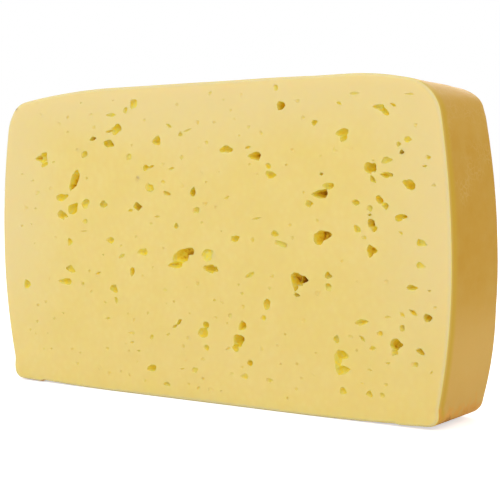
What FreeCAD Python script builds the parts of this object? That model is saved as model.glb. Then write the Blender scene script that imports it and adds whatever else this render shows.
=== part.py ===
# A slab cut from a pressed semi-hard cheese, standing upright on its rind.
# Millimetres. X runs along the length of the loaf's section, Y through the slab, Z up.
# The origin is at the middle of the flat that the slab stands on. Both large faces are
# knife cuts at right angles to Y, and the rim between them is rind. One solid.

import FreeCAD, Part
import math
import os
import random

# The section of the loaf
WIDTH = 280.0                # rind to rind at the widest level
HEIGHT = 157.0               # underside to crown
CROWN_FLAT = 110.0           # level stretch in the middle of the top
SHOULDER_RADIUS = 450.0      # how the top falls away on each side of it
BULGE_LEVEL = 72.0           # height of the widest level, where the flanks are upright
UPPER_FLANK_RADIUS = 430.0   # flank above that level
LOWER_FLANK_RADIUS = 300.0   # flank below it
BASE_FLAT = 120.0            # level stretch of the underside, which carries the slab
FOOT_RADIUS = 1060.0         # how the underside rises on each side of it
TOP_CORNER_RADIUS = 18.0     # rounding where top and flank meet
FOOT_CORNER_RADIUS = 8.0     # tighter rounding where flank and underside meet

# The slab cut from it
THICKNESS = 40.5             # between the two knife cuts
KNIFE_EDGE_RADIUS = 1.2      # softening where a cut meets the rind

# The eyes, irregular openings that the cuts lay bare
FACET_LENGTH = 1.9           # length of the straight runs that an eye's outline is made of
LEAST_CORNERS = 7            # fewest of them in the smallest eyes
EYE_LOBES = ((2, 0.10), (3, 0.15), (4, 0.07))   # waves round the outline, share of radius
WAIST_LEVEL = 0.45           # share of the depth at which an eye starts to close
WAIST_SIZE = 0.86            # size of its outline there
FLOOR_SIZE = 0.42            # size of its outline at the bottom
FLOOR_DRIFT = 0.22           # most that the bottom moves aside, share of the half width
CUT_OVERRUN = 1.0            # how far an eye's cutter stands out of the face

# Eyes of the front face, one row each: place across, in hundredths of half the width,
# place up, in hundredths of the height, then width, height, turn in degrees, and depth
FRONT_EYES = (
    (-78.0, 77.5, 9.0, 6.0, 5, 4.0),
    (-61.0, 69.5, 12.0, 6.0, 60, 6.0),
    (-30.5, 94.0, 5.5, 4.5, 30, 2.0),
    (-39.0, 87.0, 7.5, 4.5, 15, 3.5),
    (-42.5, 82.0, 7.0, 3.5, -12, 4.0),
    (-19.0, 82.5, 5.5, 4.5, 35, 3.0),
    (-23.5, 74.0, 6.5, 2.5, 12, 2.0),
    (36.0, 91.5, 4.8, 4.4, 0, 4.0),
    (13.0, 79.0, 8.5, 3.0, -2, 3.0),
    (24.5, 77.0, 8.0, 3.5, -5, 4.0),
    (32.0, 71.0, 6.0, 2.8, -20, 2.5),
    (75.5, 89.5, 8.5, 3.5, -25, 3.0),
    (60.5, 82.0, 6.5, 5.5, -10, 3.0),
    (70.5, 73.0, 5.5, 5.2, 0, 4.5),
    (77.5, 71.0, 5.5, 2.5, -5, 3.5),
    (85.0, 68.5, 6.0, 3.8, -28, 4.0),
    (51.0, 65.5, 9.0, 3.8, 2, 5.5),
    (-68.0, 64.0, 8.5, 3.0, 3, 2.5),
    (-55.5, 62.0, 5.5, 4.5, 30, 2.0),
    (-62.0, 60.5, 8.0, 4.8, 15, 3.5),
    (-68.0, 58.5, 6.5, 3.8, -15, 3.5),
    (-46.0, 62.0, 5.5, 3.3, -5, 2.5),
    (-28.5, 61.5, 5.8, 3.8, -20, 5.0),
    (-2.5, 66.0, 4.8, 3.6, 60, 4.5),
    (-63.5, 40.0, 7.0, 3.5, -15, 3.0),
    (-68.0, 35.5, 10.0, 3.3, 0, 2.5),
    (-27.0, 47.0, 7.2, 3.5, 4, 1.8),
    (-8.0, 45.5, 15.5, 7.8, 22, 5.5),
    (-40.5, 34.5, 6.5, 3.6, -35, 3.0),
    (4.5, 47.0, 7.5, 4.2, 30, 2.5),
    (4.5, 42.0, 8.0, 4.2, -3, 4.0),
    (52.0, 53.5, 9.5, 6.0, 20, 5.0),
    (43.0, 39.5, 9.5, 7.0, 35, 6.5),
    (75.0, 63.5, 7.5, 3.2, -38, 3.0),
    (71.5, 56.5, 5.5, 4.0, -45, 4.5),
    (82.5, 59.0, 6.8, 2.5, 12, 3.5),
    (71.5, 49.5, 6.0, 4.8, 20, 5.0),
    (-23.5, 9.5, 6.0, 3.2, 5, 3.0),
    (1.5, 23.0, 7.5, 6.0, 80, 3.5),
    (18.5, 25.5, 5.2, 3.8, 40, 4.0),
    (17.0, 20.0, 8.5, 6.0, 60, 4.5),
    (29.5, 32.0, 5.2, 3.6, 65, 3.0),
    (68.0, 29.0, 7.5, 2.7, 8, 2.5),
    (59.5, 17.0, 9.5, 6.5, 80, 4.0),
    (80.0, 23.5, 6.5, 5.0, -20, 5.5),
)

# Eyes of the back face, scattered by rule in the same mix of sizes
BACK_EYE_COUNT = 34
BACK_EYE_SPACING = 17.0      # least distance between two of their centres
BACK_EYE_LEVELS = (12.0, 90.0)    # lowest and highest centre, hundredths of the height
BACK_EYE_REACH = 86.0        # furthest centre from the middle, hundredths of half the width
BACK_EYE_WIDTHS = (4.5, 9.5)
BACK_EYE_SLIMNESS = (0.4, 0.85)   # height as a share of width
BACK_EYE_TILT = 55.0         # most turn from level, in degrees
BACK_EYE_DEPTHS = (2.0, 5.5)
BACK_SEED = 41


def circle_crossing(centre_a, radius_a, centre_b, radius_b):
    """The crossing of two circles that lies to the right of the way from a to b."""
    way = centre_b - centre_a
    gap = way.Length
    along = (radius_a ** 2 - radius_b ** 2 + gap ** 2) / (2 * gap)
    aside = math.sqrt(radius_a ** 2 - along ** 2)
    way.normalize()
    right = FreeCAD.Vector(way.z, 0, -way.x)
    return centre_a + way * along + right * aside


def arc(centre, radius, start, end):
    """The shorter arc from start to end on the circle about centre."""
    middle = (start + end) * 0.5 - centre
    middle.normalize()
    return Part.Arc(start, centre + middle * radius, end).toShape()


def section_corners(front):
    """Where the top and the underside meet the flank on the +X side, in the plane y = front."""
    shoulder = FreeCAD.Vector(CROWN_FLAT / 2, front, HEIGHT - SHOULDER_RADIUS)
    upper = FreeCAD.Vector(WIDTH / 2 - UPPER_FLANK_RADIUS, front, BULGE_LEVEL)
    lower = FreeCAD.Vector(WIDTH / 2 - LOWER_FLANK_RADIUS, front, BULGE_LEVEL)
    foot = FreeCAD.Vector(BASE_FLAT / 2, front, FOOT_RADIUS)
    top = circle_crossing(shoulder, SHOULDER_RADIUS, upper, UPPER_FLANK_RADIUS)
    bottom = circle_crossing(lower, LOWER_FLANK_RADIUS, foot, FOOT_RADIUS)
    return (shoulder, upper, lower, foot), top, bottom


def section_wire(front):
    """The loaf's outline, corners still sharp, in the plane y = front."""
    (shoulder, upper, lower, foot), top, bottom = section_corners(front)
    base_end = FreeCAD.Vector(BASE_FLAT / 2, front, 0)
    widest = FreeCAD.Vector(WIDTH / 2, front, BULGE_LEVEL)
    crown_end = FreeCAD.Vector(CROWN_FLAT / 2, front, HEIGHT)
    side = [
        arc(foot, FOOT_RADIUS, base_end, bottom),
        arc(lower, LOWER_FLANK_RADIUS, bottom, widest),
        arc(upper, UPPER_FLANK_RADIUS, widest, top),
        arc(shoulder, SHOULDER_RADIUS, top, crown_end),
    ]
    middle = FreeCAD.Vector(0, 0, 0)
    across = FreeCAD.Vector(1, 0, 0)
    other_side = [edge.mirror(middle, across) for edge in side]
    crown = Part.makeLine(crown_end, FreeCAD.Vector(-CROWN_FLAT / 2, front, HEIGHT))
    base = Part.makeLine(FreeCAD.Vector(-BASE_FLAT / 2, front, 0), base_end)
    return Part.Wire(Part.sortEdges(side + [crown] + other_side + [base])[0])


def edges_at(shape, corner):
    """The straight edges through the slab that pass the corner or its mirror image."""
    found = []
    for edge in shape.Edges:
        ends = [vertex.Point for vertex in edge.Vertexes]
        runs_through = abs(ends[0].y - ends[-1].y) > THICKNESS / 2
        offset = math.hypot(abs(ends[0].x) - corner.x, ends[0].z - corner.z)
        if runs_through and offset < KNIFE_EDGE_RADIUS:
            found.append(edge)
    return found


def plain_slab():
    """The slab with rounded corners and softened cut edges, before its eyes are cut."""
    front = -THICKNESS / 2
    slab = Part.Face(section_wire(front)).extrude(FreeCAD.Vector(0, THICKNESS, 0))
    centres, top, bottom = section_corners(front)
    slab = slab.makeFillet(TOP_CORNER_RADIUS, edges_at(slab, top))
    slab = slab.makeFillet(FOOT_CORNER_RADIUS, edges_at(slab, bottom))
    cut_edges = [edge for edge in slab.Edges
                 if edge.BoundBox.YLength < KNIFE_EDGE_RADIUS]
    return slab.makeFillet(KNIFE_EDGE_RADIUS, cut_edges)


def eye_ring(centre, size, turn, lobes, corners):
    """The corners of an uneven ring about centre, in a plane at right angles to Y."""
    ring = []
    for index in range(corners):
        angle = 2 * math.pi * index / corners
        swell = 1 + sum(share * math.cos(waves * angle + phase)
                        for waves, share, phase in lobes)
        along = size[0] / 2 * swell * math.cos(angle)
        up = size[1] / 2 * swell * math.sin(angle)
        ring.append(centre + FreeCAD.Vector(along * math.cos(turn) - up * math.sin(turn), 0,
                                            along * math.sin(turn) + up * math.cos(turn)))
    return ring


def facet(corners):
    """The flat face inside a closed run of corners."""
    return Part.Face(Part.makePolygon(corners + corners[:1]))


def eye_cutter(place, size, turn, depth, inward, rng):
    """The space of one eye: its mouth on the face at place, its floor depth further inward."""
    lobes = [(waves, share, rng.uniform(0, 2 * math.pi)) for waves, share in EYE_LOBES]
    drift = FreeCAD.Vector(rng.uniform(-1, 1), 0, rng.uniform(-1, 1)) * (FLOOR_DRIFT * size[0] / 2)
    girth = math.pi * (size[0] + size[1]) / 2
    corners = max(LEAST_CORNERS, round(girth / FACET_LENGTH))
    rings = []
    for level, scale, drifted in (
        (-CUT_OVERRUN, 1.0, 0.0),
        (depth * WAIST_LEVEL, WAIST_SIZE, WAIST_LEVEL),
        (depth, FLOOR_SIZE, 1.0),
    ):
        centre = place + FreeCAD.Vector(0, inward * level, 0) + drift * drifted
        rings.append(eye_ring(centre, (size[0] * scale, size[1] * scale), turn, lobes, corners))
    faces = [facet(rings[0]), facet(rings[-1])]
    for outer, inner in zip(rings, rings[1:]):
        for here in range(corners):
            after = (here + 1) % corners
            faces.append(facet([outer[here], outer[after], inner[after], inner[here]]))
    return Part.Solid(Part.Shell(faces))


def front_eyes():
    """Cutters for the placed eyes of the front face."""
    cutters = []
    for number, (across, up, width, height, turn, depth) in enumerate(FRONT_EYES):
        place = FreeCAD.Vector(across / 100 * WIDTH / 2, -THICKNESS / 2, up / 100 * HEIGHT)
        rng = random.Random(number)
        cutters.append(eye_cutter(place, (width, height), math.radians(turn), depth, 1, rng))
    return cutters


def back_eyes():
    """Cutters for the scattered eyes of the back face."""
    rng = random.Random(BACK_SEED)
    places = []
    cutters = []
    while len(places) < BACK_EYE_COUNT:
        across = rng.uniform(-BACK_EYE_REACH, BACK_EYE_REACH) / 100 * WIDTH / 2
        up = rng.uniform(*BACK_EYE_LEVELS) / 100 * HEIGHT
        place = FreeCAD.Vector(across, THICKNESS / 2, up)
        if any(place.distanceToPoint(other) < BACK_EYE_SPACING for other in places):
            continue
        places.append(place)
        width = rng.uniform(*BACK_EYE_WIDTHS)
        height = width * rng.uniform(*BACK_EYE_SLIMNESS)
        turn = math.radians(rng.uniform(-BACK_EYE_TILT, BACK_EYE_TILT))
        depth = rng.uniform(*BACK_EYE_DEPTHS)
        cutters.append(eye_cutter(place, (width, height), turn, depth, -1, rng))
    return cutters


def cheese_block():
    """The whole piece: the slab with the eyes of both faces cut into it."""
    block = plain_slab().cut(front_eyes() + back_eyes())
    return block.Solids[0]


os.makedirs("parts", exist_ok=True)
cheese_block().exportStep("parts/cheese_block.step")
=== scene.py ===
# Looks of a slab cut from a pressed semi-hard cheese, standing upright on its rind.
# Metres, in the frame's own axes: X along the cut faces, Y through the slab, Z up.

import bisect
import math
import random

import bpy
from mathutils import Matrix, Vector, geometry


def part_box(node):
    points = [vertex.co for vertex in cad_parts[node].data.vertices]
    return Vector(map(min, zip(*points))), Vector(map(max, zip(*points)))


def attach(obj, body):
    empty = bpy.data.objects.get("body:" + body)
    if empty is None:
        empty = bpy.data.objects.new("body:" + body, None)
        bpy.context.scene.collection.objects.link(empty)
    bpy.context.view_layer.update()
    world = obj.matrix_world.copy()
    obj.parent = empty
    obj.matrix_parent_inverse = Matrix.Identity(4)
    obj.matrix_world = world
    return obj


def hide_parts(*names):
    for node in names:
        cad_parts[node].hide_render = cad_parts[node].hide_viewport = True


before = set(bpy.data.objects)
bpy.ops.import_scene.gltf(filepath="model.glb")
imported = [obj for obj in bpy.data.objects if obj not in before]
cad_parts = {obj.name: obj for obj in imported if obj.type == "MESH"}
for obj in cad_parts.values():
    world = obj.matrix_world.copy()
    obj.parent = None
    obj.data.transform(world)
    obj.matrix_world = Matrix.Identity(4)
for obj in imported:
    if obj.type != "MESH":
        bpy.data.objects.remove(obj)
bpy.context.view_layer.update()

MM = 0.001
LOW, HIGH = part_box("cheese_block")
WIDTH = HIGH.x - LOW.x
HEIGHT = HIGH.z - LOW.z
THICKNESS = HIGH.y - LOW.y
CENTRE = (LOW + HIGH) / 2

# The slab's mesh
CELLS_ACROSS = 104
CELLS_UP = 60
CROWDING = 0.25              # how much closer the cells lie towards the rind
SIDE_CUTS = 15               # cuts through the rind between the two faces
KNIFE_EDGE = 1.1 * MM        # softening where a cut meets the rind
KNIFE_EDGE_STEPS = 3
KNIFE_EDGE_ANGLE = 60        # degrees between faces above which an edge is the knife's
RIND_SWELL = 0.9 * MM        # unevenness of the rind
RIND_SWELL_SPACING = 34 * MM
RIND_PUCKER = 0.22 * MM      # smaller wrinkles on it
RIND_PUCKER_SPACING = 7 * MM
FACE_WAVE = 0.35 * MM        # unevenness that the knife leaves
FACE_WAVE_SPACING = 22 * MM
WAVE_FREE_RIM = 3 * MM       # the cut faces stay true this near the rind
ON_FACE = 0.1 * MM           # what lies this close to a cut plane belongs to it
FOOT_CREASE = 2.0 * MM       # creases just above the foot
FOOT_CREASE_SPACING = 4.5 * MM
FOOT_CREASE_HEIGHT = 7 * MM
FOOT_CREASE_REACH = 6 * MM
RIND_FADE = 6 * KNIFE_EDGE   # the unevenness fades in over this width from each cut
CREASE_FADE = 3 * KNIFE_EDGE
LEVEL_FOOT = 4 * MM          # below this height the rind stays true, where the slab stands
FREE_FOOT = 16 * MM          # above this one it is as uneven as anywhere
FOOT_CORNER = 8 * MM         # the foot's corners are squarer than the section up to this height
FOOT_CORNER_FROM = 0.8       # and from this far out, share of half the width
LEFT_SQUARENESS = 0.6
RIGHT_SQUARENESS = 0.25      # at the front; the back one stayed round

RIND_NORMAL = 0.6            # faces that look along Y more than this are paste
RIND_FROM = 0.2 * MM         # and so are those nearer than this to a cut

# Where the hand-turned loaf departs from its even section: the side, then in millimetres
# the middle and reach of the swell along that side, and how far it stands out at the front
# and at the back
SWELLS = (
    ("right", 75, 92, 0.0, 1.5),
    ("right", 27, 24, 0.0, 0.8),
    ("right", 0, 9, 3.0, 0.6),
    ("left", 100, 100, 1.4, 1.4),
    ("right", 148, 7, 0.0, 1.6),
    ("left", 155, 10, 2.2, 2.2),
    ("left", 0, 12, 3.4, 3.4),
    ("crown", 105, 40, 1.8, 0.0),
    ("crown", 128, 42, 0.0, -2.2),
)
CROWN_HOLD = 6               # powers: the higher, the closer a swell keeps to the crown,
FLANK_HOLD = 4               # and to its flank
SWELL_FULLNESS = 0.5         # and the lower, the blunter it is along the flank

# The eyes
TORN_WAVE = 1.5 * MM         # how ragged the walls of the eyes are
TORN_WAVE_SPACING = 2.0 * MM
TORN_OCTAVES = 3
TORN_FROM = 4.5 * MM         # lower eyes than this are less ragged
LARGE_EYE = 4.0 * MM         # from this size an eye has the finer mesh
CUTS_LARGE = 4
CUTS_SMALL = 2
SHAPES_PER_KIND = 6
LEAN = 0.25                  # how far an eye's floor lies off its middle, share of its width
WEDGE_TURN = -math.pi / 2    # puts a corner of a three-sided prism at -X
EYE_EDGE_ANGLE = 38          # degrees between faces above which an edge stays crisp

LUMPINESS = {"hollow": 0.34, "wedge": 0.16, "split": 0.20}    # of the rough shapes
ROUNDNESS = {"hollow": 0.75, "wedge": 0.55, "split": 0.5}     # given to them when divided
WALL_LUMPINESS = 0.03        # of the divided ones
APART = 0.6                  # share of two eyes' sizes added up, past which they don't touch

# Eyes of the front face. Each row: place across in hundredths of half the width, place up
# in hundredths of the height, then width, height, turn in degrees and depth, in millimetres.
FRONT_EYES = {
    # rounded hollows with an uneven rim
    "hollow": (
        (-77.4, 77.7, 8.2, 5.8, 8, 3.4),
        (-77.0, 75.4, 5.4, 3.2, 12, 2.2),
        (-55.3, 78.6, 5.2, 4.0, 8, 2.2),
        (-59.5, 71.8, 5.4, 4.6, 40, 3.2),
        (-34.0, 92.4, 4.0, 3.2, 32, 1.2),
        (-30.1, 94.6, 6.2, 5.0, 32, 1.5),
        (-38.9, 86.5, 8.2, 5.2, 18, 3.6),
        (-42.5, 81.9, 8.0, 4.4, -12, 4.6),
        (-32.8, 77.4, 4.4, 3.6, 0, 1.1),
        (-24.5, 73.7, 4.4, 3.2, 5, 1.9),
        (-22.9, 67.4, 6.2, 4.6, -25, 1.8),
        (-16.4, 69.1, 3.2, 2.2, 0, 0.7),
        (-8.0, 84.2, 3.3, 2.5, 0, 1.1),
        (33.8, 97.0, 2.9, 3.2, 60, 1.2),
        (12.8, 79.2, 9.0, 3.6, -2, 3.3),
        (30.4, 73.9, 3.8, 3.0, -30, 1.3),
        (31.6, 71.2, 7.0, 3.6, -18, 2.6),
        (49.5, 86.2, 3.5, 2.9, 0, 1.8),
        (60.2, 83.2, 7.6, 3.8, 4, 2.9),
        (60.9, 81.6, 4.4, 4.4, -12, 2.7),
        (84.8, 80.6, 4.0, 3.0, -20, 1.4),
        (75.4, 89.6, 4.2, 3.6, -20, 2.5),
        (81.4, 79.4, 2.7, 2.4, 0, 1.2),
        (82.5, 77.3, 2.7, 2.2, 0, 3.8),
        (70.5, 73.0, 6.0, 5.6, 10, 4.6),
        (77.0, 75.1, 6.2, 3.2, 12, 1.4),
        (85.1, 68.3, 7.2, 4.4, -30, 4.2),
        (92.1, 75.6, 3.0, 2.2, -10, 1.0),
        (52.1, 71.3, 2.2, 1.5, 0, 2.6),
        (54.9, 67.8, 7.2, 3.4, 0, 2.5),
        (-67.6, 64.1, 9.0, 4.0, 2, 2.8),
        (-62.6, 67.6, 3.6, 3.4, 60, 6.4),
        (-55.0, 62.0, 6.4, 5.2, 32, 2.2),
        (-61.7, 60.4, 8.8, 5.6, 20, 4.2),
        (-67.7, 58.2, 6.8, 4.6, -20, 3.5),
        (-55.8, 56.2, 4.6, 2.7, 2, 1.3),
        (-45.8, 62.0, 6.2, 3.8, -4, 2.1),
        (-28.8, 61.2, 5.8, 4.2, -20, 5.8),
        (-2.5, 66.1, 5.2, 3.9, 62, 4.5),
        (-1.3, 60.4, 5.2, 3.3, -2, 1.6),
        (-14.6, 65.5, 5.4, 2.4, -14, 1.9),
        (-10.5, 55.4, 3.3, 3.0, 0, 1.6),
        (-42.6, 50.1, 6.4, 3.5, 2, 2.1),
        (-32.2, 40.0, 5.0, 3.4, 62, 3.4),
        (-63.4, 40.0, 7.8, 4.0, -16, 2.0),
        (-57.4, 35.2, 2.9, 2.1, -8, 0.9),
        (-8.5, 45.6, 12.4, 8.0, 12, 5.4),
        (-4.7, 47.4, 8.0, 4.2, -6, 5.4),
        (-41.1, 34.2, 6.2, 4.4, -30, 2.6),
        (-40.1, 30.3, 2.8, 3.5, 10, 1.2),
        (16.1, 51.8, 5.6, 3.6, 4, 2.3),
        (33.2, 53.7, 5.0, 3.4, -10, 1.5),
        (35.5, 50.7, 8.6, 3.0, -16, 1.5),
        (47.1, 62.6, 4.7, 3.5, -16, 2.3),
        (50.9, 52.6, 5.8, 6.2, 20, 5.6),
        (65.4, 63.1, 5.3, 2.8, -10, 2.1),
        (70.6, 61.5, 3.4, 3.0, -30, 1.5),
        (74.3, 63.9, 5.2, 3.7, -38, 3.2),
        (76.3, 62.4, 4.9, 3.0, -38, 2.4),
        (71.1, 57.2, 4.9, 4.4, -50, 4.8),
        (72.2, 55.8, 4.1, 3.2, -40, 3.2),
        (65.9, 55.5, 5.4, 3.2, -42, 1.6),
        (68.3, 53.2, 3.0, 1.8, -5, 0.8),
        (81.6, 59.0, 5.0, 3.2, 14, 2.4),
        (54.6, 41.9, 4.5, 3.3, -2, 2.9),
        (54.5, 38.5, 3.8, 3.8, 70, 1.7),
        (3.9, 46.4, 8.4, 6.4, 20, 1.3),
        (1.1, 22.1, 6.8, 5.6, -8, 2.5),
        (2.5, 24.4, 3.9, 4.3, 70, 2.9),
        (2.7, 17.4, 4.2, 3.1, 0, 1.6),
        (17.3, 20.4, 7.6, 6.8, 10, 4.8),
        (15.8, 18.3, 4.3, 4.0, 60, 2.8),
        (22.0, 13.9, 4.2, 3.5, 0, 3.1),
        (-2.6, 10.0, 4.6, 2.8, 2, 1.2),
        (-23.3, 9.2, 6.8, 3.8, 5, 2.9),
        (-15.7, 4.6, 4.8, 2.3, -4, 1.5),
        (-23.1, 19.3, 3.3, 2.5, 20, 1.3),
        (29.2, 32.2, 5.6, 4.2, 66, 2.8),
        (27.8, 28.1, 3.8, 2.6, 10, 1.5),
        (57.7, 23.5, 4.1, 3.7, -20, 1.7),
        (74.2, 26.1, 3.4, 2.4, 0, 1.4),
        (82.6, 28.1, 3.2, 3.0, 30, 1.8),
        (80.3, 23.2, 6.4, 5.4, -22, 5.6),
        (79.6, 21.2, 4.2, 3.4, 10, 2.5),
        (91.8, 31.3, 4.8, 3.7, -8, 4.2),
        (89.2, 21.9, 5.0, 2.8, -26, 3.1),
        (86.9, 18.1, 4.0, 2.3, 0, 1.2),
        (58.4, 17.1, 5.2, 9.0, 4, 1.8),
        (60.0, 8.4, 4.4, 3.6, -32, 1.4),
        (70.2, 8.5, 3.9, 3.2, -15, 1.7),
        (75.0, 8.5, 2.7, 2.9, 20, 0.9),
        (19.8, 9.7, 5.4, 3.4, 4, 0.9),
        (30.4, 9.3, 3.9, 2.1, -4, 0.7),
    ),
    # three-cornered openings, broad at one end and pointed at the other
    "wedge": (
        (51.0, 65.5, 10.2, 4.6, 4, 6.2),
        (24.3, 76.9, 9.0, 4.3, 0, 4.8),
        (-80.4, 77.4, 4.6, 3.0, 10, 3.2),
        (-61.2, 68.9, 11.4, 6.6, 62, 5.8),
        (-19.5, 82.2, 6.4, 5.5, 8, 3.0),
        (36.3, 91.6, 5.8, 4.6, 176, 4.9),
        (71.2, 73.0, 5.6, 4.8, -6, 5.2),
        (-88.1, 33.6, 6.2, 5.2, 52, 2.1),
        (-67.4, 35.6, 11.6, 3.8, 0, 2.3),
        (-64.1, 48.7, 4.9, 4.2, 60, 1.3),
        (-27.5, 46.5, 9.2, 4.2, 6, 1.7),
        (-11.6, 43.0, 10.8, 4.6, 10, 3.4),
        (4.0, 42.4, 8.8, 4.8, -6, 4.2),
        (71.6, 49.7, 6.4, 4.2, 172, 3.8),
        (70.8, 48.2, 3.2, 3.4, 85, 3.4),
        (41.2, 39.8, 8.6, 5.6, 85, 5.4),
        (44.2, 40.4, 7.4, 4.6, 178, 9.0),
        (43.3, 39.2, 4.2, 3.2, 150, 8.0),
        (41.3, 37.6, 3.8, 3.2, 75, 4.8),
        (89.8, 52.1, 6.0, 3.9, 168, 1.5),
        (89.5, 45.8, 5.6, 3.2, 170, 0.9),
        (18.3, 25.0, 6.4, 4.6, 35, 3.6),
        (53.4, 53.5, 9.8, 5.2, 188, 5.6),
        (60.2, 18.9, 8.6, 4.8, 172, 3.0),
        (60.2, 14.8, 8.8, 5.0, 186, 2.7),
    ),
    # narrow splits with pointed ends
    "split": (
        (-50.8, 83.6, 5.2, 2.8, 12, 5.8),
        (-42.6, 85.9, 5.4, 2.0, 4, 1.6),
        (-41.7, 91.2, 8.6, 2.5, -2, 1.0),
        (-22.2, 74.1, 4.8, 2.0, 12, 1.6),
        (-13.3, 86.9, 4.8, 2.3, -22, 1.2),
        (-4.8, 85.3, 5.8, 1.3, 14, 0.6),
        (-12.4, 73.4, 4.8, 2.0, 10, 1.1),
        (21.8, 79.5, 4.2, 1.7, 10, 1.1),
        (73.9, 90.1, 6.6, 2.8, -8, 1.6),
        (76.3, 88.9, 6.5, 3.6, -42, 2.3),
        (59.2, 91.5, 3.8, 1.9, -28, 0.9),
        (79.4, 90.5, 3.6, 1.9, -28, 1.1),
        (65.1, 94.1, 7.2, 2.4, 0, 0.7),
        (85.2, 93.2, 5.2, 1.6, -8, 0.6),
        (76.5, 71.0, 6.4, 3.8, -4, 2.4),
        (78.5, 71.0, 2.8, 2.2, -25, 3.4),
        (71.8, 69.8, 5.0, 3.0, -50, 1.9),
        (90.7, 73.3, 2.8, 1.4, 0, 0.9),
        (83.2, 59.3, 4.6, 2.6, 0, 3.0),
        (82.0, 54.8, 3.2, 1.6, -32, 0.8),
        (70.5, 59.7, 2.5, 1.4, 0, 1.6),
        (86.0, 39.6, 6.4, 3.3, 0, 2.1),
        (92.2, 39.0, 2.1, 1.3, 0, 0.8),
        (12.7, 64.4, 4.6, 2.0, 18, 0.7),
        (25.5, 58.1, 7.2, 1.6, 12, 0.7),
        (41.9, 35.6, 4.2, 2.4, -4, 3.6),
        (22.1, 40.9, 6.6, 2.8, 22, 1.2),
        (7.0, 42.3, 4.4, 3.5, -30, 4.6),
        (-65.2, 64.7, 3.4, 2.2, 0, 3.5),
        (-65.7, 57.9, 3.4, 2.4, -20, 5.3),
        (-37.2, 45.1, 5.4, 2.6, 22, 1.0),
        (-49.2, 39.1, 4.6, 1.5, 14, 0.9),
        (-56.3, 52.9, 5.4, 1.0, 2, 0.6),
        (-32.5, 60.2, 4.4, 2.4, 8, 1.0),
        (-19.6, 58.2, 4.2, 1.5, 0, 0.7),
        (-9.9, 24.8, 4.8, 2.6, 36, 2.3),
        (-11.8, 23.3, 4.4, 2.2, 30, 1.7),
        (-15.1, 20.6, 3.2, 2.1, 28, 0.7),
        (-44.5, 24.2, 4.2, 1.9, 6, 0.6),
        (-32.7, 20.0, 5.8, 2.4, 2, 0.6),
        (-32.6, 17.0, 3.2, 2.2, 12, 0.9),
        (-29.3, 14.3, 3.6, 1.6, 4, 0.9),
        (-8.6, 10.0, 3.4, 1.2, 12, 0.7),
        (12.4, 17.8, 4.0, 2.1, 24, 0.7),
        (67.4, 28.9, 8.8, 3.8, 9, 2.0),
        (67.5, 24.3, 4.4, 1.9, -42, 1.1),
        (71.4, 21.7, 4.1, 2.5, 8, 1.0),
        (86.5, 32.7, 5.4, 2.5, -36, 1.6),
        (82.6, 31.8, 4.2, 2.3, -40, 0.8),
        (92.9, 16.4, 2.3, 1.3, 52, 0.6),
        (77.1, 17.9, 3.0, 1.7, 8, 0.7),
        (77.1, 30.9, 4.0, 1.8, 4, 0.6),
        (70.4, 15.3, 3.4, 1.6, 0, 0.6),
    ),
}

# Specks of the front face: place across and up as above, then width in millimetres
FRONT_SPECKS = (
    (-63.8, 86.1, 2.2), (-54.3, 70.5, 2.1), (-50.2, 87.3, 3.0), (-83.6, 69.7, 2.4),
    (42.9, 92.7, 3.0), (14.6, 90.9, 2.2), (22.5, 85.7, 2.6), (18.2, 83.1, 1.8),
    (22.5, 74.4, 2.1), (40.6, 78.5, 2.2), (38.2, 74.1, 1.8), (72.1, 75.0, 1.7),
    (93.9, 68.0, 2.2), (-80.9, 65.6, 3.8), (-87.1, 60.4, 3.0), (-82.1, 60.2, 2.2),
    (-90.0, 54.1, 2.4), (-22.4, 55.9, 2.4), (-37.5, 48.4, 2.2), (-16.4, 34.8, 3.2),
    (2.9, 62.4, 3.0), (17.4, 37.8, 1.7), (18.9, 35.0, 2.1), (30.7, 37.3, 2.1),
    (31.8, 40.8, 2.8), (39.3, 56.4, 2.2), (50.4, 57.8, 2.2), (60.0, 46.3, 2.2),
    (94.3, 34.4, 2.2), (-77.5, 28.2, 2.0), (-81.8, 26.9, 2.2), (-72.9, 22.6, 1.8),
    (-82.5, 21.2, 2.2), (-79.3, 11.8, 2.0), (-75.0, 12.1, 1.8), (-63.6, 12.7, 2.1),
    (-59.3, 11.8, 1.8), (-67.9, 24.8, 1.8), (-52.9, 32.8, 2.2), (-34.3, 13.9, 2.2),
    (-45.0, 14.0, 2.8), (-7.9, 17.2, 2.8), (-44.3, 5.9, 3.0), (-38.4, 7.0, 2.0),
    (-26.4, 4.8, 2.8), (36.9, 23.7, 1.7), (33.7, 20.1, 2.2), (35.0, 14.6, 1.6),
    (41.8, 15.1, 2.1), (43.6, 10.8, 2.4), (41.4, 7.6, 2.2), (49.5, 18.8, 1.7),
    (18.6, 12.5, 2.1), (1.1, 7.6, 2.1), (1.1, 13.7, 2.8), (67.5, 11.3, 1.7),
    (65.4, 20.7, 2.1), (76.4, 11.7, 2.2),
)
SPECK_SLIMNESS = 0.7
SPECK_DEPTH = 0.5            # millimetres
PINHOLE_COUNT = 90           # more specks between them, scattered
PINHOLE_WIDTHS = (1.2, 3.0)
PINHOLE_SLIMNESS = (0.5, 1.0)
PINHOLE_DEPTHS = (0.25, 0.6)
PINHOLE_SEED = 7

# Eyes of the back face, scattered in the same mix
BACK_COUNTS = {"hollow": 58, "wedge": 14, "split": 34}
BACK_WIDTHS = {"hollow": (2.4, 8.0), "wedge": (3.6, 7.6), "split": (2.4, 7.4)}
BACK_SLIMNESS = {"hollow": (0.5, 0.9), "wedge": (0.55, 0.9), "split": (0.25, 0.4)}
BACK_DEPTHS = (0.25, 0.75)   # share of an eye's width
BACK_PINHOLES = 110
BACK_SEED = 23
EYE_REACH = 0.93             # how far out scattered eyes lie, share of the way to the rind
EYE_GAP = 2.2 * MM           # least paste left between two scattered eyes
EYE_TILT_SPREAD = 28         # degrees


# ---------------------------------------------------------------- the loaf's section

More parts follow.
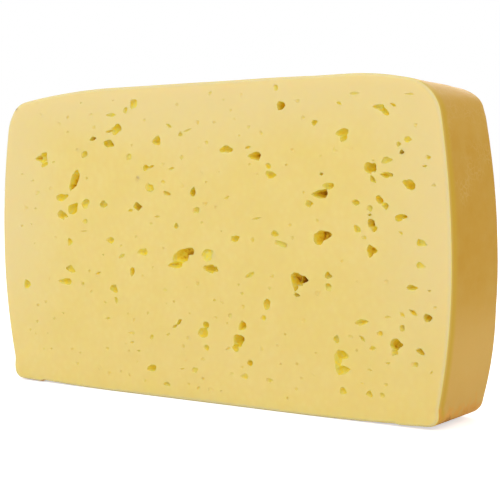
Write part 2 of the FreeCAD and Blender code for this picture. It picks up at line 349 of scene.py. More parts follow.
MIDDLE = Vector((CENTRE.x, CENTRE.z))


def direction(place):
    """The way in which a place lies, seen from the middle of the section."""
    return math.atan2(place.y - MIDDLE.y, place.x - MIDDLE.x)


def section_hull():
    """The outline of the frame's solid seen along Y, as places round it by rising direction."""
    flat = [Vector((v.co.x, v.co.z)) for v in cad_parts["cheese_block"].data.vertices]
    return sorted((flat[i] for i in geometry.convex_hull_2d(flat)), key=direction)


HULL = section_hull()
HULL_TURNS = [direction(place) for place in HULL]


def outline_share(way):
    """How many times the way, measured from the middle, fits before it meets the rind."""
    after = bisect.bisect(HULL_TURNS, math.atan2(way.y, way.x)) % len(HULL)
    start = HULL[after - 1] - MIDDLE
    along = HULL[after] - HULL[after - 1]
    return start.cross(along) / way.cross(along)


def box_share(way):
    """The same for the upright rectangle round the section."""
    across = WIDTH / 2 / max(abs(way.x), 1e-9)
    up = HEIGHT / 2 / max(abs(way.y), 1e-9)
    return min(across, up)


def from_rind(place):
    """Distance from a place on a cut face out to the rind."""
    way = Vector((place.x, place.z)) - MIDDLE
    if way.length < MM:
        return HEIGHT / 2
    return way.length * max(outline_share(way) - 1, 0)


# ---------------------------------------------------------------- modelling helpers

def only(piece):
    """Selects one object and makes it the active one."""
    bpy.ops.object.select_all(action="DESELECT")
    piece.select_set(True)
    bpy.context.view_layer.objects.active = piece


def pick(piece, kind, wanted):
    """Leaves the piece in edit mode with only the wanted vertices, edges or polygons selected."""
    bpy.ops.object.mode_set(mode="EDIT")
    bpy.ops.mesh.select_mode(type={"vertices": "VERT", "edges": "EDGE", "polygons": "FACE"}[kind])
    bpy.ops.mesh.select_all(action="DESELECT")
    bpy.ops.object.mode_set(mode="OBJECT")
    for element in getattr(piece.data, kind):
        element.select = wanted(element)
    bpy.ops.object.mode_set(mode="EDIT")


def displace(piece, group, strength, spacing, name, octaves=1):
    """Pushes a vertex group in and out along its normals by a cloudy pattern, and applies it."""
    clouds = bpy.data.textures.new(name, "CLOUDS")
    clouds.noise_scale = spacing
    clouds.noise_depth = octaves
    push = piece.modifiers.new(name, "DISPLACE")
    push.texture = clouds
    push.texture_coords = "LOCAL"
    push.strength = strength
    push.mid_level = 0.5
    push.vertex_group = group
    bpy.ops.object.modifier_apply(modifier=push.name)


def weigh(piece, name, weight):
    """Makes a vertex group whose weights come from a rule on the vertex's place."""
    group = piece.vertex_groups.new(name=name)
    for vertex in piece.data.vertices:
        group.add([vertex.index], weight(vertex.co), "REPLACE")


# ---------------------------------------------------------------- the slab

def crowd(share):
    """Spreads even steps from -1 to 1 so that they lie closer towards both ends."""
    return share * (1 + CROWDING - CROWDING * share * share)


def slab():
    """The slab before its eyes: an upright grid drawn out to the section, then extruded."""
    bpy.ops.object.select_all(action="DESELECT")
    bpy.ops.mesh.primitive_grid_add(
        x_subdivisions=CELLS_ACROSS, y_subdivisions=CELLS_UP, size=2,
        location=(0, 0, 0), rotation=(math.pi / 2, 0, 0))
    block = bpy.context.object
    block.name = "cheese_slab"
    bpy.ops.object.transform_apply(rotation=True)
    for vertex in block.data.vertices:
        place = Vector((crowd(vertex.co.x) * WIDTH / 2, crowd(vertex.co.z) * HEIGHT / 2))
        if place.length > MM:
            place = place * (outline_share(place) / box_share(place))
        vertex.co = (MIDDLE.x + place.x, LOW.y, MIDDLE.y + place.y)

    bpy.ops.object.mode_set(mode="EDIT")
    bpy.ops.mesh.select_all(action="SELECT")
    bpy.ops.mesh.extrude_region_move(TRANSFORM_OT_translate={"value": (0, THICKNESS, 0)})
    bpy.ops.mesh.select_all(action="SELECT")
    bpy.ops.mesh.normals_make_consistent(inside=False)

    ends = block.data.vertices
    pick(block, "edges", lambda e: abs(ends[e.vertices[0]].co.y - ends[e.vertices[1]].co.y) > MM)
    bpy.ops.mesh.subdivide(number_cuts=SIDE_CUTS)

    bpy.ops.mesh.select_mode(type="EDGE")
    bpy.ops.mesh.select_all(action="DESELECT")
    bpy.ops.mesh.edges_select_sharp(sharpness=math.radians(KNIFE_EDGE_ANGLE))
    bpy.ops.mesh.bevel(offset=KNIFE_EDGE, segments=KNIFE_EDGE_STEPS, affect="EDGES")
    bpy.ops.object.mode_set(mode="OBJECT")
    return block


def bell(value, middle, reach):
    """A smooth hump, 1 at its middle and 0 from its reach on."""
    share = min(abs(value - middle) / reach, 1)
    return (1 + math.cos(math.pi * share)) / 2


def swelling(spot):
    """How far the flanks, the foot's corners and the crown depart from the section at a place."""
    place = spot - Vector((CENTRE.x, LOW.y, LOW.z))
    back = place.y / THICKNESS
    across = place.x / (WIDTH / 2)
    offset = Vector((0, 0, 0))
    for side, middle, reach, front_out, back_out in SWELLS:
        out = (front_out + (back_out - front_out) * back) * MM
        if side == "crown":
            hold = (place.z / HEIGHT) ** CROWN_HOLD
            offset.z += out * bell(place.x, middle * MM, reach * MM) * hold
        else:
            way = 1 if side == "right" else -1
            hold = max(across * way, 0) ** FLANK_HOLD
            hump = bell(place.z, middle * MM, reach * MM) ** SWELL_FULLNESS
            offset.x += way * out * hold * hump
    if 0 < place.z < FOOT_CORNER and abs(across) > FOOT_CORNER_FROM:
        squareness = LEFT_SQUARENESS if across < 0 else RIGHT_SQUARENESS * (1 - back)
        offset.z += place.z * ((place.z / FOOT_CORNER) ** squareness - 1)
    return offset


def depth_in(spot):
    """Distance from a place on a cut face of the swollen slab out to the rind."""
    return from_rind(spot - swelling(spot))


def uneven(block):
    """Gives the rind its gentle swells and puckers and the cut faces the knife's waves."""
    def inward(place):
        return min(place.y - LOW.y, HIGH.y - place.y)

    def on_rind(place):
        rise = (place.z - LOW.z - LEVEL_FOOT) / (FREE_FOOT - LEVEL_FOOT)
        return min(max(inward(place) / RIND_FADE, 0), 1) * min(max(rise, 0), 1)

    def on_cut(place):
        return 1.0 if inward(place) < ON_FACE and depth_in(place) > WAVE_FREE_RIM else 0.0

    def near_foot(place):
        low = bell(place.z - LOW.z, FOOT_CREASE_HEIGHT, FOOT_CREASE_REACH)
        return low * min(max(inward(place) / CREASE_FADE, 0), 1)

    weigh(block, "rind", on_rind)
    weigh(block, "foot", near_foot)
    weigh(block, "cut", on_cut)
    displace(block, "rind", RIND_SWELL, RIND_SWELL_SPACING, "rind_swells")
    displace(block, "rind", RIND_PUCKER, RIND_PUCKER_SPACING, "rind_puckers")
    displace(block, "foot", FOOT_CREASE, FOOT_CREASE_SPACING, "foot_creases")
    displace(block, "cut", FACE_WAVE, FACE_WAVE_SPACING, "knife_waves")


# ---------------------------------------------------------------- the eyes

def fitted(piece):
    """Scales a shape so that it spans -1 to 1 along each axis."""
    for axis in range(3):
        places = [v.co[axis] for v in piece.data.vertices]
        middle, reach = (max(places) + min(places)) / 2, (max(places) - min(places)) / 2
        for vertex in piece.data.vertices:
            vertex.co[axis] = (vertex.co[axis] - middle) / reach
    return piece


def torn(piece, cuts, roundness, seed):
    """Divides a rough lump's faces, rounds them a little and leaves them uneven."""
    bpy.ops.mesh.select_all(action="SELECT")
    bpy.ops.mesh.subdivide(number_cuts=cuts, smoothness=roundness)
    bpy.ops.transform.vertex_random(offset=WALL_LUMPINESS, uniform=1, seed=seed)
    bpy.ops.object.mode_set(mode="OBJECT")
    return fitted(piece)


def hollow(cuts, seed):
    """A rounded hollow with a few blunt corners, deepest towards +X."""
    bpy.ops.object.select_all(action="DESELECT")
    bpy.ops.mesh.primitive_ico_sphere_add(subdivisions=1, radius=1)
    piece = bpy.context.object
    bpy.ops.object.mode_set(mode="EDIT")
    bpy.ops.mesh.select_all(action="SELECT")
    bpy.ops.transform.vertex_random(offset=LUMPINESS["hollow"], uniform=1, seed=seed)
    pick(piece, "vertices", lambda v: v.co.y > 0.5)
    bpy.ops.transform.translate(value=(LEAN, 0, 0))
    return torn(piece, cuts, ROUNDNESS["hollow"], seed)


def prism(corners, turn):
    """An upright prism through the face, with one corner pointing along -X."""
    bpy.ops.object.select_all(action="DESELECT")
    bpy.ops.mesh.primitive_cylinder_add(
        vertices=corners, radius=1, depth=2, rotation=(math.pi / 2, turn, 0))
    piece = bpy.context.object
    bpy.ops.object.transform_apply(rotation=True)
    return piece


def wedge(cuts, seed):
    """A three-cornered hollow with an upright broad end at +X, drawn to a point at -X."""
    piece = prism(3, WEDGE_TURN)
    pick(piece, "vertices", lambda v: v.co.y > 0)
    bpy.ops.transform.resize(value=(0.6, 1, 0.6), center_override=(0.3 + LEAN, 0, 0.1))
    bpy.ops.mesh.select_all(action="SELECT")
    bpy.ops.transform.vertex_random(offset=LUMPINESS["wedge"], uniform=1, seed=seed)
    return torn(piece, cuts, ROUNDNESS["wedge"], seed)


def split(cuts, seed):
    """A narrow hollow that closes to a point at both ends."""
    piece = prism(4, 0)
    pick(piece, "vertices", lambda v: v.co.y > 0)
    bpy.ops.transform.resize(value=(0.6, 1, 0.4), center_override=(LEAN, 0, 0))
    bpy.ops.mesh.select_all(action="SELECT")
    bpy.ops.transform.vertex_random(offset=LUMPINESS["split"], uniform=1, seed=seed)
    return torn(piece, cuts, ROUNDNESS["split"], seed)


def scattered_eyes(rng, taken, counts, widths, slimness, depths):
    """Rows of eyes at random free places on a face, each with its kind."""
    rows = []
    for kind, count in counts.items():
        made = 0
        while made < count:
            turn = rng.uniform(-math.pi, math.pi)
            way = Vector((math.cos(turn), math.sin(turn)))
            place = MIDDLE + way * (outline_share(way) * EYE_REACH * math.sqrt(rng.random()))
            width = rng.uniform(*widths[kind]) * MM
            if any((place - other).length < (width + size) / 2 + EYE_GAP for other, size in taken):
                continue
            taken.append((place, width))
            height = width * rng.uniform(*slimness[kind])
            tilt = rng.gauss(0, EYE_TILT_SPREAD)
            depth = depths(rng, width)
            rows.append((kind, place, width, height, tilt, depth))
            made += 1
    return rows


def pinholes(rng, taken, count):
    """Rows of shallow specks at random free places on a face."""
    return scattered_eyes(
        rng, taken, {"hollow": count}, {"hollow": PINHOLE_WIDTHS}, {"hollow": PINHOLE_SLIMNESS},
        lambda source, width: source.uniform(*PINHOLE_DEPTHS) * MM)


def on_front(across, up):
    """A place on the front face from its hundredths of half the width and of the height."""
    return Vector((CENTRE.x + across / 100 * WIDTH / 2, LOW.z + up / 100 * HEIGHT))


def front_rows():
    """The placed eyes and specks of the front face and the pinholes between them."""
    rows = []
    for kind, placed in FRONT_EYES.items():
        for across, up, width, height, tilt, depth in placed:
            rows.append((kind, on_front(across, up), width * MM, height * MM, tilt, depth * MM))
    for across, up, width in FRONT_SPECKS:
        height = width * SPECK_SLIMNESS * MM
        rows.append(("hollow", on_front(across, up), width * MM, height, 0, SPECK_DEPTH * MM))
    taken = [(row[1], row[2]) for row in rows]
    return rows + pinholes(random.Random(PINHOLE_SEED), taken, PINHOLE_COUNT)


def back_rows():
    """The scattered eyes and pinholes of the back face."""
    rng = random.Random(BACK_SEED)
    taken = []
    rows = scattered_eyes(rng, taken, BACK_COUNTS, BACK_WIDTHS, BACK_SLIMNESS,
                          lambda source, width: width * source.uniform(*BACK_DEPTHS))
    return rows + pinholes(rng, taken, BACK_PINHOLES)


def set_apart(rows):
    """Shares the eyes out into groups in which none touches another."""
    groups = []
    for row in rows:
        reach = max(row[2], row[3])
        for group in groups:
            if all((row[1] - r[1]).length > (reach + max(r[2], r[3])) * APART for r in group):
                group.append(row)
                break
        else:
            groups.append([row])
    return groups


def eye_cutter(rows, face_y, inward, seed):
    """All the hollows of one face as a single cutter, each a copy of one of its kind's shapes."""
    kinds = {"hollow": hollow, "wedge": wedge, "split": split}
    shapes = {(kind, large): [kinds[kind](cuts, variant) for variant in range(SHAPES_PER_KIND)]
              for kind in kinds for large, cuts in ((True, CUTS_LARGE), (False, CUTS_SMALL))}
    rng = random.Random(seed)
    copies = []
    for kind, place, width, height, tilt, depth in rows:
        source = rng.choice(shapes[kind, width >= LARGE_EYE])
        copy = source.copy()
        copy.data = source.data.copy()
        bpy.context.collection.objects.link(copy)
        size = Matrix.Diagonal((width / 2, depth * inward, height / 2, 1))
        turned = Matrix.Rotation(-math.radians(tilt), 4, "Y") @ size
        copy.data.transform(Matrix.Translation((place.x, face_y, place.y)) @ turned)
        if inward < 0:
            copy.data.flip_normals()
        ragged = copy.vertex_groups.new(name="ragged")
        ragged.add(range(len(copy.data.vertices)), min(height / TORN_FROM, 1), "REPLACE")
        copies.append(copy)
    for shape in sum(shapes.values(), []):
        bpy.data.objects.remove(shape)
    only(copies[0])
    for copy in copies:
        copy.select_set(True)
    bpy.ops.object.join()
    cutter = bpy.context.object
    displace(cutter, "ragged", TORN_WAVE, TORN_WAVE_SPACING, "torn_walls", TORN_OCTAVES)
    return cutter


def cut(block, cutter):
    """Takes the cutter's space out of the block."""
    only(block)
    opening = block.modifiers.new("eyes", "BOOLEAN")
    opening.operation = "DIFFERENCE"
    opening.object = cutter
    opening.solver = "MANIFOLD"
    bpy.ops.object.modifier_apply(modifier=opening.name)
    bpy.data.objects.remove(cutter)


def without_crumbs(block):
    """Drops the loose slivers that the cuts leave between an eye and the knife's waves."""
    only(block)
    bpy.ops.object.mode_set(mode="EDIT")
    bpy.ops.mesh.select_all(action="SELECT")
    bpy.ops.mesh.separate(type="LOOSE")
    bpy.ops.object.mode_set(mode="OBJECT")
    *crumbs, whole = sorted(bpy.context.selected_objects, key=lambda p: len(p.data.polygons))
    for crumb in crumbs:
        bpy.data.objects.remove(crumb)
    whole.name = "cheese_slab"
    return whole


# ---------------------------------------------------------------- materials

def linear(hex_colour):
    """An sRGB colour written in hex, as the linear colour that the shader takes."""
    parts = [int(hex_colour[i:i + 2], 16) / 255 for i in (1, 3, 5)]
    lin = [p / 12.92 if p <= 0.04045 else ((p + 0.055) / 1.055) ** 2.4 for p in parts]
    return (*lin, 1.0)


def add_node(tree, kind, settings=None, inputs=None):
    """Adds a node with its settings, and sets or links each named input."""
    node = tree.nodes.new(kind)
    for name, value in (settings or {}).items():
        setattr(node, name, value)
    for socket, value in (inputs or {}).items():
        if isinstance(value, bpy.types.NodeSocket):
            tree.links.new(value, node.inputs[socket])
        else:
            node.inputs[socket].default_value = value
    return node


def new_material(name):
    """An empty node material and its output node."""
    material = bpy.data.materials.new(name)
    material.use_nodes = True
    material.node_tree.nodes.clear()
    return material, material.node_tree


SMOOTH = {"interpolation_type": "SMOOTHSTEP"}
MIX = {"data_type": "RGBA"}
MIX_FACTOR, MIX_A, MIX_B, MIX_RESULT = 0, 6, 7, 2    # its sockets for colours

CURD_SPREAD = 9 * MM         # how far the curds shift the tones of the eyes' walls in depth
EYE_LIGHT_AND_SHADE_TONES = (                # millimetres below the cut face, and the colour there: golden as painted light, brown as painted shade
    (0.5, "#EADC70"), (1.6, "#F3DD5C"), (3.0, "#F8E04A"), (4.4, "#F6D438"),
    (5.8, "#DCA624"), (8.0, "#A66A12"))


def cut_paste():
    """Cheese paste laid bare by a knife: a pale, waxy, slightly see-through solid. The light
    that sinks in and comes out again gives the eye the soft butter yellow. The golden of the eyes
    is painted light, their brown depths painted shade, and the paler paste towards the rind a
    painted sheen."""
    material, tree = new_material("knife_cut_paste")
    place = add_node(tree, "ShaderNodeTexCoord").outputs["Object"]

    mottle = add_node(tree, "ShaderNodeTexNoise", inputs={
        "Vector": place, "Scale": 1 / (24 * MM), "Detail": 3.0, "Roughness": 0.55})
    tone = add_node(tree, "ShaderNodeMapRange", inputs={
        "Value": mottle.outputs["Fac"], "From Min": 0.35, "From Max": 0.65})
    body = add_node(tree, "ShaderNodeMix", MIX, {
        MIX_FACTOR: tone.outputs["Result"], MIX_A: linear("#EED782"), MIX_B: linear("#F0DA8A")})

    # curd grain 3 mm across, the size of the pressed curds
    curd = add_node(tree, "ShaderNodeTexVoronoi", {"feature": "SMOOTH_F1"}, {
        "Vector": place, "Scale": 1 / (3.2 * MM), "Smoothness": 0.7})
    curd_tone = add_node(tree, "ShaderNodeMapRange", inputs={
        "Value": curd.outputs["Distance"], "From Min": 0.1, "From Max": 0.7, "To Max": 0.35})
    grained = add_node(tree, "ShaderNodeMix", MIX, {
        MIX_FACTOR: curd_tone.outputs["Result"], MIX_A: body.outputs[MIX_RESULT],
        MIX_B: linear("#ECD07C")})

    # paste paler towards the rind, a painted sheen, but not at the foot, and a drab greyish hem 2
    # mm wide along the rind, a painted edge shade
    parts = add_node(tree, "ShaderNodeSeparateXYZ", inputs={"Vector": place})
    rind_way = add_node(tree, "ShaderNodeAttribute", {"attribute_name": "from_rind"})
    rim_sheen = add_node(tree, "ShaderNodeMapRange", SMOOTH, {
        "Value": rind_way.outputs["Fac"], "From Min": 0.0, "From Max": 60.0,
        "To Min": 0.85, "To Max": 0.0})
    off_floor = add_node(tree, "ShaderNodeMapRange", inputs={
        "Value": parts.outputs["Z"], "From Min": 5 * MM, "From Max": 70 * MM})
    rim_sheen_share = add_node(tree, "ShaderNodeMath", {"operation": "MULTIPLY"}, {
        0: rim_sheen.outputs["Result"], 1: off_floor.outputs["Result"]})
    # painted sheen: the paste paled towards the rind
    dried = add_node(tree, "ShaderNodeMix", MIX, {
        MIX_FACTOR: rim_sheen_share.outputs["Value"], MIX_A: grained.outputs[MIX_RESULT],
        MIX_B: linear("#EED99A")})
    # painted edge shade: a drab greyish hem along the rind
    hem = add_node(tree, "ShaderNodeMapRange", SMOOTH, {
        "Value": rind_way.outputs["Fac"], "From Min": 0.2, "From Max": 2.4,
        "To Min": 0.75, "To Max": 0.0})
    hemmed = add_node(tree, "ShaderNodeMix", MIX, {
        MIX_FACTOR: hem.outputs["Result"], MIX_A: dried.outputs[MIX_RESULT],
        MIX_B: linear("#DFCDA2")})

    # walls of the eyes: the paste's yellow just under the face, then a brighter golden further in,
    # painted light in the hollows, and brown deepest, painted shade
    off_centre = add_node(tree, "ShaderNodeMath", {"operation": "ABSOLUTE"}, {
        0: parts.outputs["Y"]})
    depth = add_node(tree, "ShaderNodeMath", {"operation": "SUBTRACT"}, {
        0: THICKNESS / 2, 1: off_centre.outputs["Value"]})
    curds = add_node(tree, "ShaderNodeTexNoise", inputs={
        "Vector": place, "Scale": 1 / (1.8 * MM), "Detail": 2.0, "Roughness": 0.5})
    curdled = add_node(tree, "ShaderNodeMath", {"operation": "MULTIPLY_ADD"}, {
        0: curds.outputs["Fac"], 1: CURD_SPREAD, 2: depth.outputs["Value"]})
    depth_share = add_node(tree, "ShaderNodeMapRange", inputs={
        "Value": curdled.outputs["Value"], "From Min": CURD_SPREAD / 2,
        "From Max": CURD_SPREAD / 2 + EYE_LIGHT_AND_SHADE_TONES[-1][0] * MM})
    tones = add_node(tree, "ShaderNodeValToRGB", inputs={"Fac": depth_share.outputs["Result"]})
    stops = tones.color_ramp.elements
    stops.remove(stops[0])
    stops[0].color = linear(EYE_LIGHT_AND_SHADE_TONES[-1][1])
    for at, colour in EYE_LIGHT_AND_SHADE_TONES[:-1]:
        stops.new(at / EYE_LIGHT_AND_SHADE_TONES[-1][0]).color = linear(colour)
    inside = add_node(tree, "ShaderNodeMapRange", SMOOTH, {
        "Value": depth.outputs["Value"], "From Min": 0.1 * MM, "From Max": 0.8 * MM})
    # painted light and shade of the eyes' walls, by depth below the face
    walls = add_node(tree, "ShaderNodeMix", MIX, {
        MIX_FACTOR: inside.outputs["Result"], MIX_A: hemmed.outputs[MIX_RESULT],
        MIX_B: tones.outputs["Color"]})

    # the blade's drag: fine level streaks 1.5 mm apart and 30 mm long
    stretched = add_node(tree, "ShaderNodeMapping", inputs={"Vector": place, "Scale": (0.05, 1, 1)})
    drag = add_node(tree, "ShaderNodeTexNoise", inputs={
        "Vector": stretched.outputs["Vector"], "Scale": 1 / (1.5 * MM), "Detail": 2.0})
    grain = add_node(tree, "ShaderNodeTexNoise", inputs={
        "Vector": place, "Scale": 1 / (0.9 * MM), "Detail": 3.0})
    relief = add_node(tree, "ShaderNodeMath", {"operation": "ADD"}, {
        0: drag.outputs["Fac"], 1: grain.outputs["Fac"]})
    bump = add_node(tree, "ShaderNodeBump", inputs={
        "Height": relief.outputs["Value"], "Distance": 0.05 * MM, "Strength": 0.5})

    shine = add_node(tree, "ShaderNodeMapRange", inputs={
        "Value": grain.outputs["Fac"], "To Min": 0.42, "To Max": 0.58})
    gleam = add_node(tree, "ShaderNodeMapRange", inputs={
        "Value": depth.outputs["Value"], "From Max": 1 * MM, "To Min": 0.35, "To Max": 0.08})
    surface = add_node(tree, "ShaderNodeBsdfPrincipled", inputs={
        "Base Color": walls.outputs[MIX_RESULT], "Roughness": shine.outputs["Result"],
        "IOR": 1.45, "Subsurface Weight": 0.8, "Subsurface Radius": (1.0, 0.8, 0.35),
        "Subsurface Scale": 5 * MM, "Specular IOR Level": gleam.outputs["Result"],
        "Normal": bump.outputs["Normal"]})
    add_node(tree, "ShaderNodeOutputMaterial", inputs={"Surface": surface.outputs["BSDF"]})
    return material


def washed_rind():
    """Smooth rind dried and washed in the cellar: an ochre skin with fine wrinkles. A clear
    yellow line of paste shines through it along each cut."""
    material, tree = new_material("washed_rind")
    place = add_node(tree, "ShaderNodeTexCoord").outputs["Object"]
    parts = add_node(tree, "ShaderNodeSeparateXYZ", inputs={"Vector": place})

    patches = add_node(tree, "ShaderNodeTexNoise", inputs={
        "Vector": place, "Scale": 1 / (30 * MM), "Detail": 3.0, "Roughness": 0.5})
    height = add_node(tree, "ShaderNodeMapRange", SMOOTH, {
        "Value": parts.outputs["Z"], "From Min": 30 * MM, "From Max": 70 * MM,
        "To Min": 0.9, "To Max": 0.0})
    blend = add_node(tree, "ShaderNodeMath", {"operation": "MULTIPLY_ADD"}, {
        0: patches.outputs["Fac"], 1: 0.6, 2: height.outputs["Result"]})
    pale = add_node(tree, "ShaderNodeMath", {"operation": "SUBTRACT", "use_clamp": True}, {
        0: blend.outputs["Value"], 1: 0.3})
    body = add_node(tree, "ShaderNodeMix", MIX, {
        MIX_FACTOR: pale.outputs["Value"], MIX_A: linear("#D19D2E"), MIX_B: linear("#E1B45C")})

    # lighter crown, painted light on the top of the rind
    crown = add_node(tree, "ShaderNodeMapRange", SMOOTH, {
        "Value": parts.outputs["Z"], "From Min": 115 * MM, "From Max": 145 * MM,
        "To Max": 0.45})
    crown_lit = add_node(tree, "ShaderNodeMix", MIX, {
        MIX_FACTOR: crown.outputs["Result"], MIX_A: body.outputs[MIX_RESULT],
        MIX_B: linear("#DFB050")})

    # cloudy unevenness of the dried skin, 9 mm across
    cloud = add_node(tree, "ShaderNodeTexNoise", inputs={
        "Vector": place, "Scale": 1 / (9 * MM), "Detail": 4.0, "Roughness": 0.6})
    cloud_tone = add_node(tree, "ShaderNodeMapRange", inputs={
        "Value": cloud.outputs["Fac"], "From Min": 0.35, "From Max": 0.7, "To Max": 0.25})
    clouded = add_node(tree, "ShaderNodeMix", MIX, {
        MIX_FACTOR: cloud_tone.outputs["Result"], MIX_A: crown_lit.outputs[MIX_RESULT],
        MIX_B: linear("#DCB458")})

    # faint crinkles 2.6 mm apart in patches, mostly high on the flanks, where the skin dried loose;
    # their ridges are painted paler, a painted highlight
    wander = add_node(tree, "ShaderNodeTexNoise", inputs={
        "Vector": place, "Scale": 1 / (6 * MM), "Detail": 2.0})
    shift = add_node(tree, "ShaderNodeVectorMath", {"operation": "MULTIPLY_ADD"}, {
        0: wander.outputs["Color"], 1: (5 * MM, 5 * MM, 5 * MM), 2: place})
    crinkle = add_node(tree, "ShaderNodeTexVoronoi", {"feature": "DISTANCE_TO_EDGE"}, {
        "Vector": shift.outputs["Vector"], "Scale": 1 / (2.6 * MM)})
    ridge = add_node(tree, "ShaderNodeMapRange", SMOOTH, {
        "Value": crinkle.outputs["Distance"], "From Min": 0.0, "From Max": 0.14,
        "To Min": 1.0, "To Max": 0.0})
    where = add_node(tree, "ShaderNodeTexNoise", inputs={
        "Vector": place, "Scale": 1 / (20 * MM), "Detail": 2.0})
    high = add_node(tree, "ShaderNodeMapRange", SMOOTH, {
        "Value": parts.outputs["Z"], "From Min": 90 * MM, "From Max": 118 * MM, "To Max": 0.22})
    patchy = add_node(tree, "ShaderNodeMath", {"operation": "ADD"}, {
        0: where.outputs["Fac"], 1: high.outputs["Result"]})
    masked = add_node(tree, "ShaderNodeMapRange", SMOOTH, {
        "Value": patchy.outputs["Value"], "From Min": 0.58, "From Max": 0.8,
        "To Min": 0.0, "To Max": 0.28})
    shown = add_node(tree, "ShaderNodeMath", {"operation": "MULTIPLY"}, {
        0: ridge.outputs["Result"], 1: masked.outputs["Result"]})
    # painted highlight on the ridges of the crinkles
    ridge_highlit = add_node(tree, "ShaderNodeMix", MIX, {
        MIX_FACTOR: shown.outputs["Value"], MIX_A: clouded.outputs[MIX_RESULT],
        MIX_B: linear("#E6C67E")})

    # clear yellow line along the fresh cut, 4 to 5 mm wide
    line = add_node(tree, "ShaderNodeMapRange", SMOOTH, {
        "Value": parts.outputs["Y"], "From Min": 3.0 * MM - THICKNESS / 2,
        "From Max": 6.5 * MM - THICKNESS / 2, "To Min": 0.85, "To Max": 0.0})
    lined = add_node(tree, "ShaderNodeMix", MIX, {
        MIX_FACTOR: line.outputs["Result"], MIX_A: ridge_highlit.outputs[MIX_RESULT],
        MIX_B: linear("#D6AC2C")})
    rim = add_node(tree, "ShaderNodeMapRange", SMOOTH, {
        "Value": parts.outputs["Y"], "From Min": 0.4 * MM - THICKNESS / 2,
        "From Max": 2.6 * MM - THICKNESS / 2, "To Min": 0.8, "To Max": 0.0})
    rimmed = add_node(tree, "ShaderNodeMix", MIX, {
        MIX_FACTOR: rim.outputs["Result"], MIX_A: lined.outputs[MIX_RESULT],
        MIX_B: linear("#DDBA64")})

    # browner and blotched at the foot, where it lay on the shelf, and darkest brown along the very
    # bottom and its creases, painted shade
    blotch = add_node(tree, "ShaderNodeTexNoise", inputs={
        "Vector": place, "Scale": 1 / (5 * MM), "Detail": 2.0})
    ragged = add_node(tree, "ShaderNodeMath", {"operation": "MULTIPLY_ADD"}, {
        0: blotch.outputs["Fac"], 1: 24 * MM, 2: parts.outputs["Z"]})
    foot = add_node(tree, "ShaderNodeMapRange", SMOOTH, {
        "Value": ragged.outputs["Value"], "From Min": 15 * MM, "From Max": 23 * MM,
        "To Min": 0.9, "To Max": 0.0})
    shelved = add_node(tree, "ShaderNodeMix", MIX, {
        MIX_FACTOR: foot.outputs["Result"], MIX_A: rimmed.outputs[MIX_RESULT],
        MIX_B: linear("#E8A846")})
    # painted shade: dark brown along the bottom edge of the foot and in its creases
    foot_shade = add_node(tree, "ShaderNodeMapRange", SMOOTH, {
        "Value": ragged.outputs["Value"], "From Min": 11 * MM, "From Max": 16 * MM,
        "To Min": 0.7, "To Max": 0.0})
    foot_shaded = add_node(tree, "ShaderNodeMix", MIX, {
        MIX_FACTOR: foot_shade.outputs["Result"], MIX_A: shelved.outputs[MIX_RESULT],
        MIX_B: linear("#9A6A26")})

    pores = add_node(tree, "ShaderNodeTexNoise", inputs={
        "Vector": place, "Scale": 1 / (1.1 * MM), "Detail": 3.0})
    relief = add_node(tree, "ShaderNodeMath", {"operation": "MULTIPLY_ADD"}, {
        0: pores.outputs["Fac"], 1: 0.5, 2: shown.outputs["Value"]})
    bump = add_node(tree, "ShaderNodeBump", inputs={
        "Height": relief.outputs["Value"], "Distance": 0.12 * MM, "Strength": 0.6})
    shine = add_node(tree, "ShaderNodeMapRange", inputs={
        "Value": pores.outputs["Fac"], "To Min": 0.45, "To Max": 0.62})
    surface = add_node(tree, "ShaderNodeBsdfPrincipled", inputs={
        "Base Color": foot_shaded.outputs[MIX_RESULT], "Roughness": shine.outputs["Result"],
        "IOR": 1.45, "Subsurface Weight": 0.15, "Subsurface Radius": (1.0, 0.55, 0.2),
        "Subsurface Scale": 2 * MM, "Specular IOR Level": 0.22, "Normal": bump.outputs["Normal"]})
    add_node(tree, "ShaderNodeOutputMaterial", inputs={"Surface": surface.outputs["BSDF"]})
    return material


# ---------------------------------------------------------------- putting it together

def cheese():
    """The finished slab: shape, eyes, materials and its measured distance from the rind."""
    block = slab()
    for vertex in block.data.vertices:
        vertex.co += swelling(vertex.co)
    uneven(block)
    block.data.materials.append(cut_paste())
    block.data.materials.append(washed_rind())
    for face in block.data.polygons:
        inward = min(face.center.y - LOW.y, HIGH.y - face.center.y)
        face.material_index = 1 if abs(face.normal.y) < RIND_NORMAL and inward > RIND_FROM else 0
    for rows, face_y, inward in ((front_rows(), LOW.y, 1), (back_rows(), HIGH.y, -1)):
        for turn, group in enumerate(set_apart(rows)):
            cut(block, eye_cutter(group, face_y, inward, turn))
    block = without_crumbs(block)
    block.vertex_groups.clear()
    distance = block.data.attributes.new("from_rind", "FLOAT", "POINT")
    distance.data.foreach_set("value", [depth_in(v.co) / MM for v in block.data.vertices])
    only(block)
    bpy.ops.object.shade_smooth_by_angle(angle=math.radians(EYE_EDGE_ANGLE))
    return block


block = cheese()
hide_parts("cheese_block")
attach(block, "root")


# ---------------------------------------------------------------- floor, light and camera

FLOOR_SIZE = 12.0
GLOW = 0.60                  # what the floor adds for the eye alone, to read as white
ROOM_LEVEL = 0.55            # of the even light from all round
LAMP_SIZE = 1.4


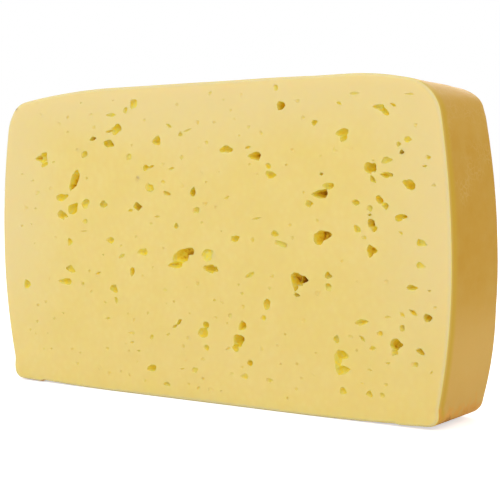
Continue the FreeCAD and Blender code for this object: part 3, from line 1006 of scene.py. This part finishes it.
def studio_floor():
    """A wide pale sweep of painted board under the slab. It reads as white and keeps the shadow."""
    bpy.ops.object.select_all(action="DESELECT")
    bpy.ops.mesh.primitive_plane_add(size=FLOOR_SIZE, location=(0, 0, LOW.z))
    floor = bpy.context.object
    floor.name = "studio_floor"
    bpy.ops.object.transform_apply(location=True)
    material, tree = new_material("matt_white_board")
    board = add_node(tree, "ShaderNodeBsdfDiffuse", inputs={"Color": linear("#F4F4F3")})
    path = add_node(tree, "ShaderNodeLightPath")
    lift = add_node(tree, "ShaderNodeMath", {"operation": "MULTIPLY"}, {
        0: path.outputs["Is Camera Ray"], 1: GLOW})
    glow = add_node(tree, "ShaderNodeEmission", inputs={"Strength": lift.outputs["Value"]})
    both = add_node(tree, "ShaderNodeAddShader", inputs={
        0: board.outputs["BSDF"], 1: glow.outputs["Emission"]})
    add_node(tree, "ShaderNodeOutputMaterial", inputs={"Surface": both.outputs["Shader"]})
    floor.data.materials.append(material)
    return floor


def white_room(strength):
    """Even light from all round. The eye, and what glossy surfaces mirror, see plain white."""
    world = bpy.data.worlds.new("white_room")
    world.use_nodes = True
    tree = world.node_tree
    tree.nodes.clear()
    path = add_node(tree, "ShaderNodeLightPath")
    seen = add_node(tree, "ShaderNodeMath", {"operation": "MAXIMUM"}, {
        0: path.outputs["Is Camera Ray"], 1: path.outputs["Is Glossy Ray"]})
    seen_all = add_node(tree, "ShaderNodeMath", {"operation": "MAXIMUM"}, {
        0: seen.outputs["Value"], 1: path.outputs["Is Transmission Ray"]})
    level = add_node(tree, "ShaderNodeMapRange", inputs={
        "Value": seen_all.outputs["Value"], "To Min": strength, "To Max": 1.0})
    sky = add_node(tree, "ShaderNodeBackground", inputs={
        "Color": (1, 1, 1, 1), "Strength": level.outputs["Result"]})
    add_node(tree, "ShaderNodeOutputWorld", inputs={"Surface": sky.outputs["Background"]})
    bpy.context.scene.world = world


def softbox(name, place, power):
    """A large square lamp that faces the middle of the slab."""
    lamp = bpy.data.lights.new(name, "AREA")
    lamp.size = LAMP_SIZE
    lamp.energy = power
    holder = bpy.data.objects.new(name, lamp)
    holder.location = place
    holder.rotation_euler = (CENTRE - Vector(place)).to_track_quat("-Z", "Y").to_euler()
    bpy.context.collection.objects.link(holder)


CAMERA_PLACE = (0.4224, -0.5254, 0.1139)
CAMERA_HEADING = 37.74       # degrees to the left of straight at the front face
CAMERA_DIP = 3.38            # degrees below level
CAMERA_ROLL = -0.60          # degrees
CAMERA_LENS = 96.84          # millimetres, on a 36 mm wide sensor


def camera():
    """The camera in front of the right end of the slab, a little above its middle."""
    lens = bpy.data.cameras.new("camera")
    lens.lens = CAMERA_LENS
    lens.sensor_width = 36
    lens.clip_start = 0.01
    holder = bpy.data.objects.new("camera", lens)
    turn = (Matrix.Rotation(math.radians(CAMERA_HEADING), 4, "Z")
            @ Matrix.Rotation(math.radians(90 - CAMERA_DIP), 4, "X")
            @ Matrix.Rotation(math.radians(CAMERA_ROLL), 4, "Z"))
    holder.matrix_world = Matrix.Translation(CAMERA_PLACE) @ turn
    bpy.context.collection.objects.link(holder)
    bpy.context.scene.camera = holder


studio_floor()
white_room(ROOM_LEVEL)
softbox("key", (-0.5, -1.5, 1.3), 13.2)
softbox("fill", (1.5, -0.9, 0.9), 6.4)
softbox("back", (-0.5, 1.6, 1.1), 13.2)
camera()
bpy.context.scene.view_settings.view_transform = "Standard"
